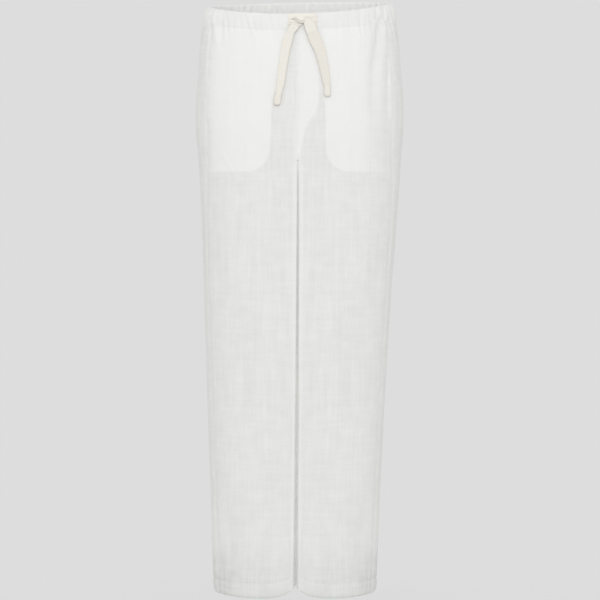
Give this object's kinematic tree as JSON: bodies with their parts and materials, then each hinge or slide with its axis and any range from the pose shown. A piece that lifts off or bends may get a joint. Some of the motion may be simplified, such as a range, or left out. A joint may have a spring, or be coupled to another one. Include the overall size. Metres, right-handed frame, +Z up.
{
  "type": "hemp trousers",
  "caption": "Pull-on straight-leg hemp trousers, filled out and hollow, with an elastic waist casing, side pocket bags, a mock fly and a flat drawstring.",
  "frame": {"origin": "middle of the waist opening, level with the casing's top edge at the side seams, where the wearer holds the trousers up", "axes": "+Z up; the front faces -Y; the wearer's left is +X"},
  "size_m": [0.3562, 0.2374, 1.022],
  "materials": {
    "hemp_cloth": "white hemp, fine slubbed plain weave, matte",
    "casing_cloth": "white hemp, doubled and gathered over elastic, matte",
    "pocketing": "white hemp, doubled, matte",
    "cream_tape": "cream flat cotton tape, matte"
  },
  "bodies": {
    "root": {"front_left": "hemp_cloth", "front_right": "hemp_cloth", "back_left": "hemp_cloth", "back_right": "hemp_cloth", "waistband_front": "casing_cloth", "waistband_back": "casing_cloth", "pocket_bag_left": "pocketing", "pocket_bag_right": "pocketing", "fly_facing": "pocketing", "drawstring_knot": "cream_tape", "drawstring_tail_left": "cream_tape", "drawstring_tail_right": "cream_tape", "drawstring_end_left": "cream_tape", "drawstring_end_right": "cream_tape"}
  },
  "joints": []
}
